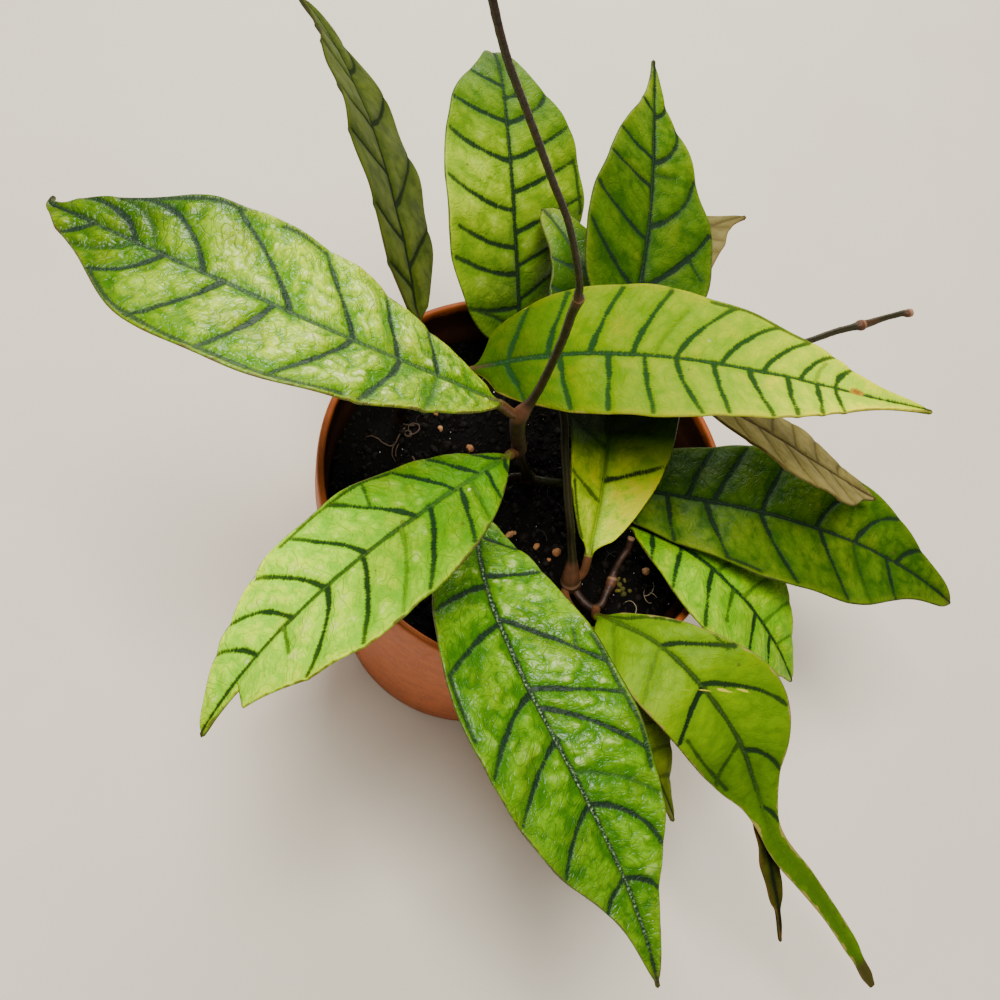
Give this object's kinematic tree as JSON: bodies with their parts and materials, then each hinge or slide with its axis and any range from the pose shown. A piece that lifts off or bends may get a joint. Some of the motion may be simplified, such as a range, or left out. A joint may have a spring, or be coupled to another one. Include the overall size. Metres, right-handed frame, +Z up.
{
  "type": "potted houseplant",
  "caption": "Trailing houseplant with long veined leaves on thin brown stems, in a round tapered nursery pot filled with soil.",
  "frame": {"origin": "middle of the pot's flat underside", "axes": "+Z up along the pot's axis, -Y towards the side that the longest drooping leaves hang over"},
  "size_m": [0.2796, 0.2165, 0.3122],
  "materials": {
    "terracotta_plastic": "satin moulded plastic",
    "dark_soil": "rough barky potting soil",
    "brown_stem": "dull woody stem",
    "green_leaf": "waxy leaf with a dark net of veins",
    "yellow_leaf": "waxy yellowing leaf with a dark net of veins",
    "olive_leaf": "shaded olive leaf with a dark net of veins",
    "tan_leaf": "dull tan leaf underside"
  },
  "bodies": {
    "root": {"pot": "terracotta_plastic", "soil": "dark_soil", "leader_vine": "brown_stem", "low_vine": "brown_stem", "left_shoot": "brown_stem", "back_shoot": "brown_stem", "right_shoot": "brown_stem", "leaf_west": "green_leaf", "leaf_lower_left": "green_leaf", "leaf_east": "yellow_leaf", "leaf_upper_left": "olive_leaf", "leaf_top": "green_leaf", "leaf_top_right": "green_leaf", "leaf_centre": "green_leaf", "leaf_low_right": "green_leaf", "leaf_under_right": "tan_leaf", "leaf_rim_right": "green_leaf", "leaf_rim_front": "green_leaf", "leaf_front": "green_leaf", "leaf_back_tan": "tan_leaf", "leaf_torn": "green_leaf"}
  },
  "joints": []
}
